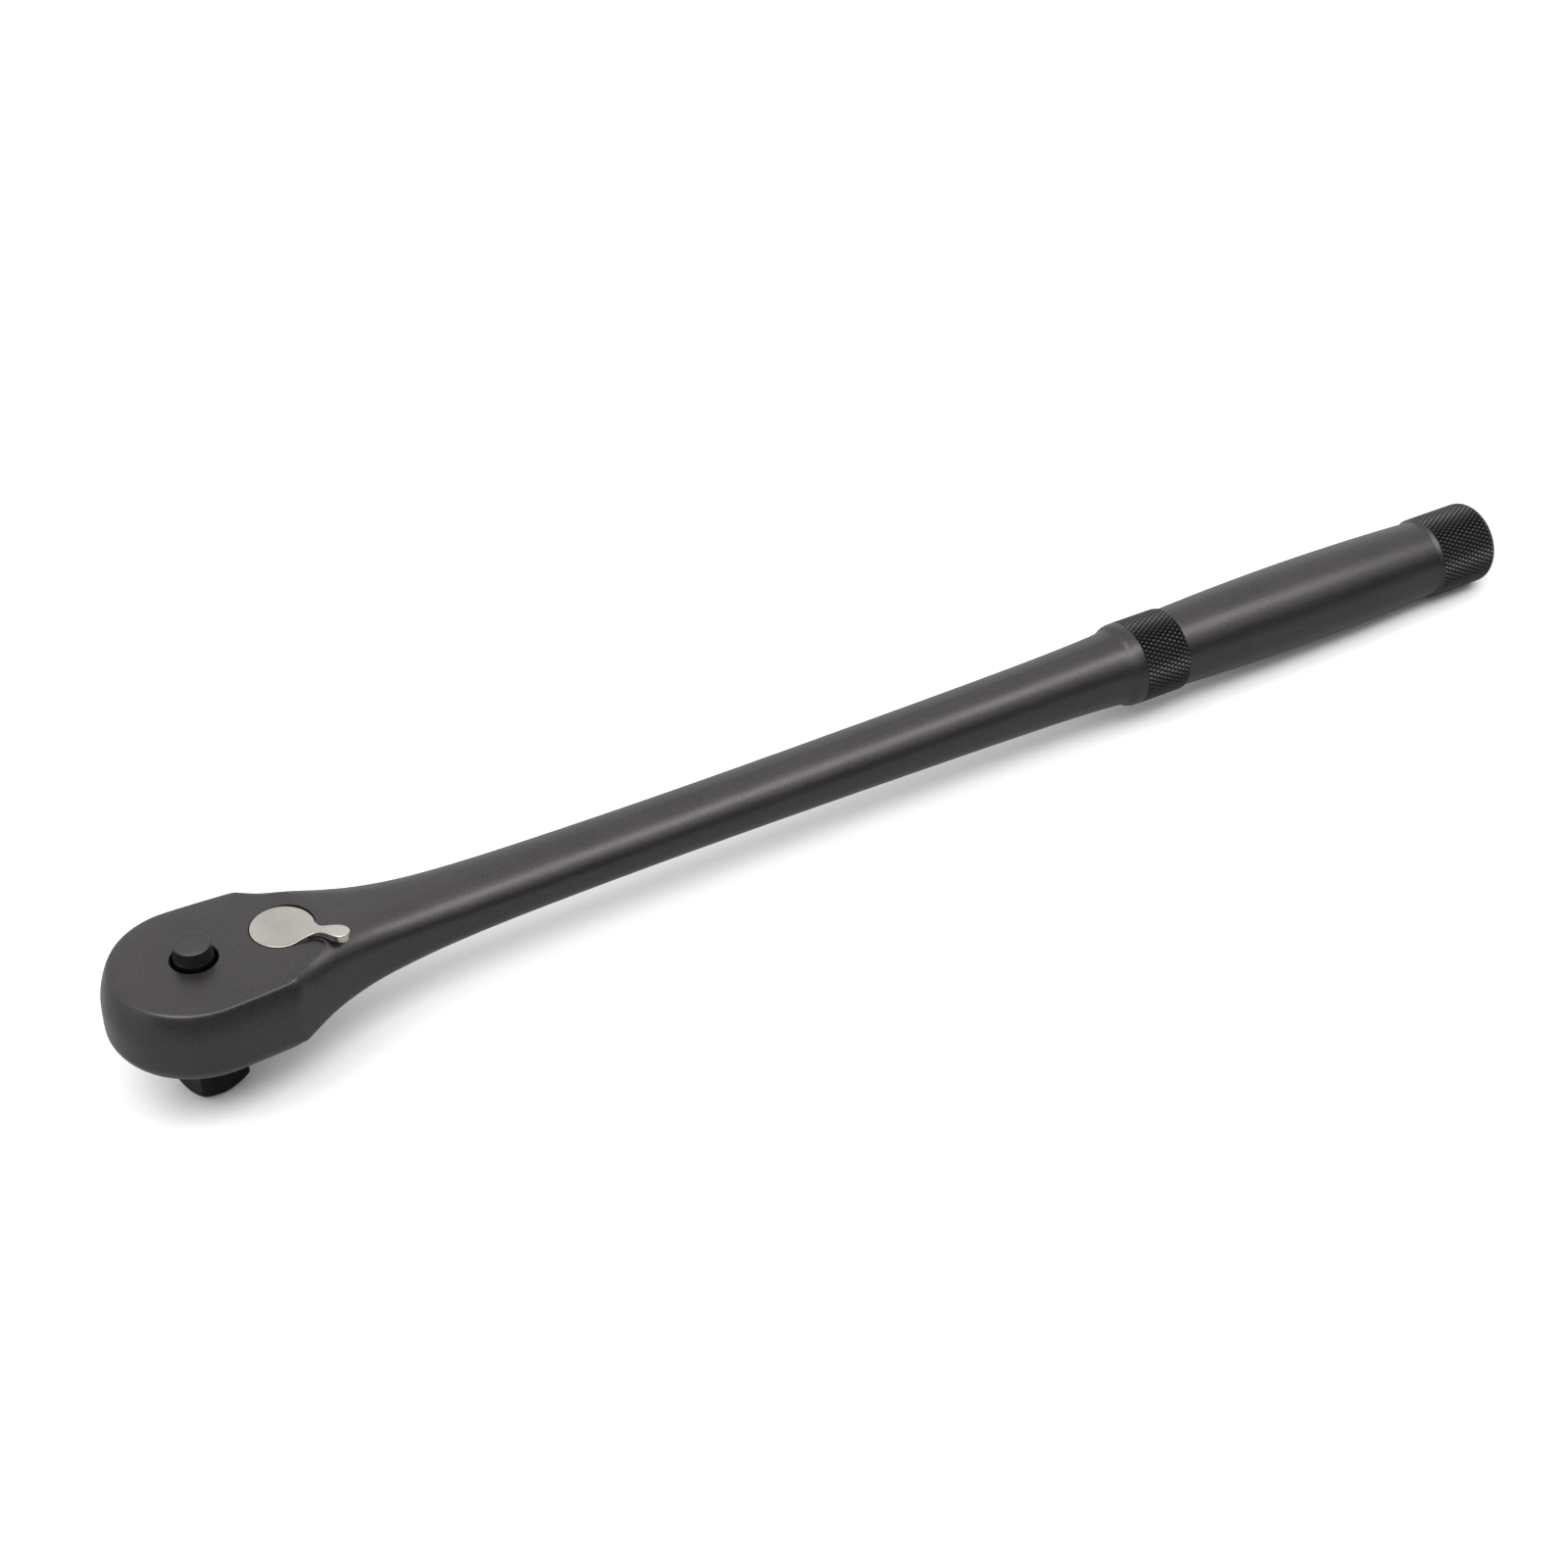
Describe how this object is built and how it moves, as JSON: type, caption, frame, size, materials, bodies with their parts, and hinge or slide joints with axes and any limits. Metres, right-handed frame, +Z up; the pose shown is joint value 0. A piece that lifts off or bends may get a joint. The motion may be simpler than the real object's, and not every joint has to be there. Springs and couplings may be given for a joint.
{
  "type": "ratchet handle",
  "caption": "Half-inch square-drive ratchet handle with a pear-shaped head, push-button socket release, reversing thumb lever and a long round grip with knurled bands.",
  "frame": {"origin": "centre of the square drive's end face", "axes": "+Z up along the drive axis, out of the release button; +X along the handle from the drive to the grip end; +Y across the handle"},
  "size_m": [0.381, 0.0414, 0.0392],
  "materials": {
    "black_oxide_steel": "satin black oxide over a blasted forging",
    "blackened_drive_steel": "near-black oxide, fine machining marks",
    "black_screw_steel": "black oxide",
    "satin_nickel": "warm satin silver, fine bead-blasted",
    "hardened_steel": "hardened grey steel, ground",
    "spring_steel": "bright spring steel",
    "black_rubber": "matte",
    "gasket_fibre": "matte pressed fibre"
  },
  "bodies": {
    "handle": {"handle_forging": "black_oxide_steel", "cover_plate": "black_oxide_steel", "cover_gasket": "gasket_fibre", "cover_screw_1": "black_screw_steel", "cover_screw_2": "black_screw_steel", "cover_screw_3": "black_screw_steel", "hub_seal": "black_rubber", "thrust_washer": "spring_steel", "lever_seal": "black_rubber"},
    "drive": {"drive_gear": "blackened_drive_steel", "release_spring": "spring_steel"},
    "button": {"release_button": "blackened_drive_steel"},
    "ball": {"socket_ball": "spring_steel"},
    "lever": {"reverse_lever": "satin_nickel", "lever_clip": "spring_steel", "detent_spring": "spring_steel"},
    "detent": {"detent_ball": "spring_steel"},
    "pawl": {"pawl": "hardened_steel"}
  },
  "joints": [
    {"name": "gear_spin", "type": "hinge", "parent": "handle", "child": "drive", "pos_m": [0, 0, 0], "axis": [0, 0, 1], "continuous": true},
    {"name": "button_press", "type": "slide", "parent": "drive", "child": "button", "axis": [0, 0, -1], "range_m": [0, 0.0035], "stiffness_N_per_m": 600, "springref_m": -0.003, "deforming": ["release_spring"]},
    {"name": "ball_travel", "type": "slide", "parent": "drive", "child": "ball", "axis": [-0.9703, -0.2419, 0], "range_m": [0, 0.001]},
    {"name": "lever_turn", "type": "hinge", "parent": "handle", "child": "lever", "pos_m": [0.0206, 0, 0], "axis": [0, 0, 1], "range_deg": [0, 96]},
    {"name": "detent_slide", "type": "slide", "parent": "lever", "child": "detent", "axis": [-0.6691, 0.7431, 0], "range_m": [0, 0.0004], "stiffness_N_per_m": 800, "springref_m": -0.001},
    {"name": "pawl_rock", "type": "hinge", "parent": "handle", "child": "pawl", "pos_m": [0.0206, 0, 0], "axis": [0, 0, 1], "range_deg": [0, 7.2]}
  ],
  "couplings": [
    {"joint": "ball_travel", "follows": "button_press", "ratio": 0.28571},
    {"joint": "pawl_rock", "follows": "lever_turn", "ratio": 0.075}
  ]
}
